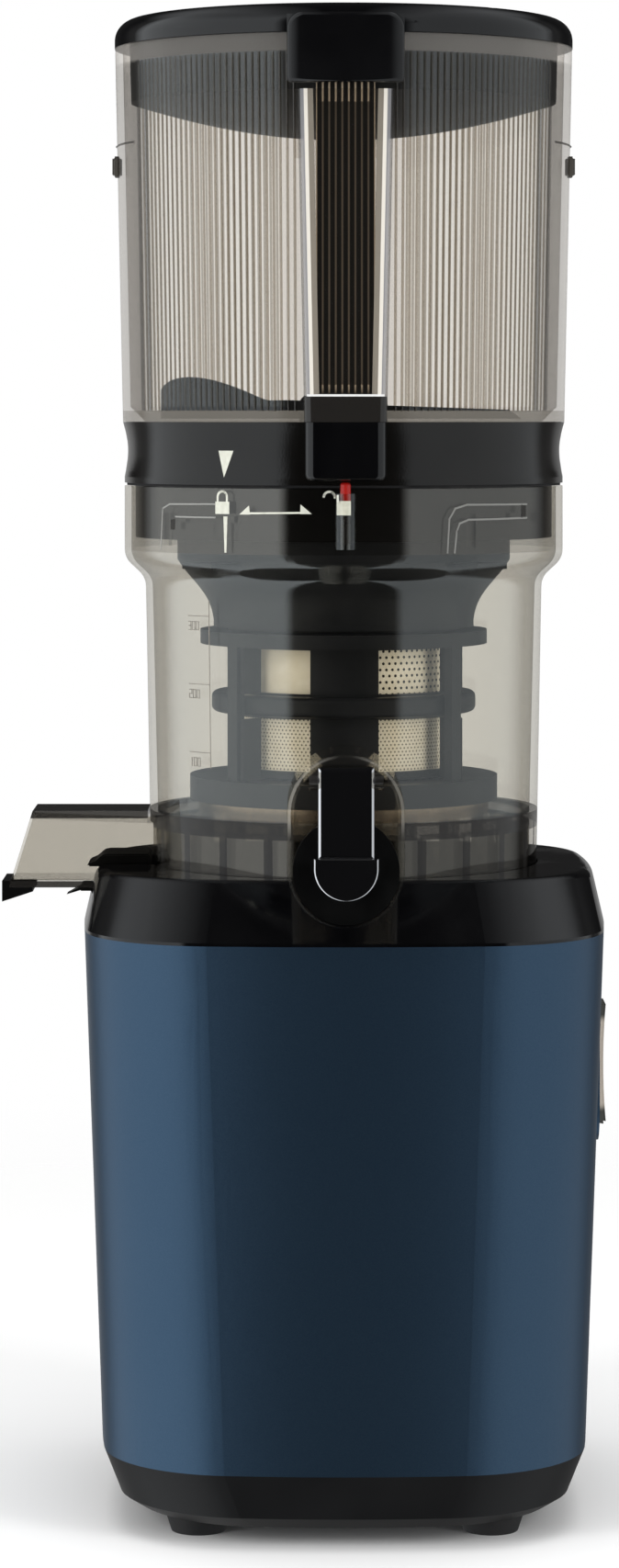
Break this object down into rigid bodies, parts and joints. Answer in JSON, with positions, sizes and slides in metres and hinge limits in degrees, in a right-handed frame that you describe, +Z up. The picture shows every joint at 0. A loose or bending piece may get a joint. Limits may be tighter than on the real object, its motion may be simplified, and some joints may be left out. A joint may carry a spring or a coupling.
{
  "type": "cold press juicer",
  "caption": "Upright slow juicer: square motor base, clear juicing bowl with a capped front spout and side pulp chute, and a wide clear hopper under a hinged lid.",
  "frame": {"origin": "on the table, under the centre of the whole juicer's bounding box", "axes": "+Z up along the drive axis; the juice spout faces -Y, the rocker switch +X and the pulp chute -X"},
  "size_m": [0.2042, 0.2026, 0.5],
  "materials": {
    "navy_paint": "satin",
    "gloss_black": "gloss",
    "black_plastic": "satin",
    "dark_screw": "satin",
    "clear_tint": "gloss",
    "rubber_black": "matte",
    "rocker_grey": "satin",
    "strainer_steel": "satin",
    "steel": "brushed",
    "cast_grey": "cast",
    "board_green": "satin",
    "signal_red": "gloss"
  },
  "bodies": {
    "base": {"rubber_feet": "rubber_black", "bottom_tray": "black_plastic", "base_screws": "steel", "motor_housing": "navy_paint", "top_cover": "gloss_black", "gearbox_case": "cast_grey", "mount_bushes": "rubber_black", "motor_can": "cast_grey", "control_board": "board_green", "interlock_switch": "board_green", "cord_gland": "black_plastic", "switch_bezel": "gloss_black", "switch_module": "board_green", "rocker_pin": "steel", "shaft_seal": "rubber_black"},
    "rocker": {"rocker_button": "rocker_grey"},
    "shaft": {"drive_shaft": "steel"},
    "bowl": {"juicing_bowl": "clear_tint", "wiper_ledge": "clear_tint", "juice_spout": "clear_tint", "pulp_chute": "clear_tint", "chute_lip": "rubber_black", "pulp_plug": "rubber_black", "pin_guide": "clear_tint", "strainer_frame": "black_plastic", "strainer_mesh": "strainer_steel", "funnel": "black_plastic", "idler_pin": "steel", "cap_pin": "steel"},
    "screw": {"juicing_screw": "dark_screw", "feed_wing": "black_plastic"},
    "wiper": {"wiper_frame": "black_plastic", "wiper_blades": "rubber_black"},
    "idler": {"idler_gear": "black_plastic"},
    "hopper": {"hopper": "clear_tint", "hopper_ring": "gloss_black", "hopper_gasket": "rubber_black", "channel_housing": "gloss_black", "hinge_pin": "steel", "rod_spring": "steel"},
    "lock_pin": {"lock_pin": "signal_red"},
    "rod": {"safety_rod": "black_plastic"},
    "lid": {"lid_shell": "gloss_black", "lid_dish": "black_plastic", "latch_pin": "steel"},
    "latch": {"lid_latch": "gloss_black"},
    "cap": {"cap_lever": "gloss_black", "cap_plug": "rubber_black"}
  },
  "joints": [
    {"name": "rocker_swing", "type": "hinge", "parent": "base", "child": "rocker", "pos_m": [0.09308, 0.01117, 0.147], "axis": [0, 1, 0], "range_deg": [-9, 9]},
    {"name": "bowl_lift", "type": "slide", "parent": "base", "child": "bowl", "axis": [0, 0, 1], "range_m": [0, 0.08]},
    {"name": "screw_spin", "type": "hinge", "parent": "bowl", "child": "screw", "pos_m": [0.0133, 0.01117, 0.2364], "axis": [0, 0, 1], "continuous": true},
    {"name": "shaft_spin", "type": "hinge", "parent": "base", "child": "shaft", "pos_m": [0.0133, 0.01117, 0.172], "axis": [0, 0, 1], "continuous": true},
    {"name": "wiper_spin", "type": "hinge", "parent": "bowl", "child": "wiper", "pos_m": [0.0133, 0.01117, 0.2363], "axis": [0, 0, 1], "continuous": true},
    {"name": "idler_spin", "type": "hinge", "parent": "bowl", "child": "idler", "pos_m": [0.0383, 0.01117, 0.2364], "axis": [0, 0, 1], "continuous": true},
    {"name": "hopper_twist", "type": "hinge", "parent": "bowl", "child": "hopper", "pos_m": [0.0133, 0.01117, 0.3434], "axis": [0, 0, 1], "range_deg": [0, 32]},
    {"name": "pin_slide", "type": "slide", "parent": "bowl", "child": "lock_pin", "axis": [0, 0, 1], "range_m": [0, 0.0041]},
    {"name": "lid_hinge", "type": "hinge", "parent": "hopper", "child": "lid", "pos_m": [0.0133, 0.09677, 0.492], "axis": [-1, 0, 0], "range_deg": [0, 100]},
    {"name": "rod_slide", "type": "slide", "parent": "hopper", "child": "rod", "axis": [0, 0, 1], "range_m": [0, 0.0041]},
    {"name": "latch_swing", "type": "hinge", "parent": "lid", "child": "latch", "pos_m": [0.0133, -0.07223, 0.4926], "axis": [-1, 0, 0], "range_deg": [0, 40]},
    {"name": "cap_swing", "type": "hinge", "parent": "bowl", "child": "cap", "pos_m": [0.0133, -0.09833, 0.251], "axis": [-1, 0, 0], "range_deg": [0, 95]}
  ],
  "couplings": [
    {"joint": "shaft_spin", "follows": "screw_spin", "ratio": 1},
    {"joint": "idler_spin", "follows": "screw_spin", "ratio": -1.5},
    {"joint": "wiper_spin", "follows": "screw_spin", "ratio": -0.42857},
    {"joint": "rod_slide", "follows": "lid_hinge", "m_per_rad": 0.0022918},
    {"joint": "pin_slide", "follows": "lid_hinge", "m_per_rad": 0.0022918}
  ]
}
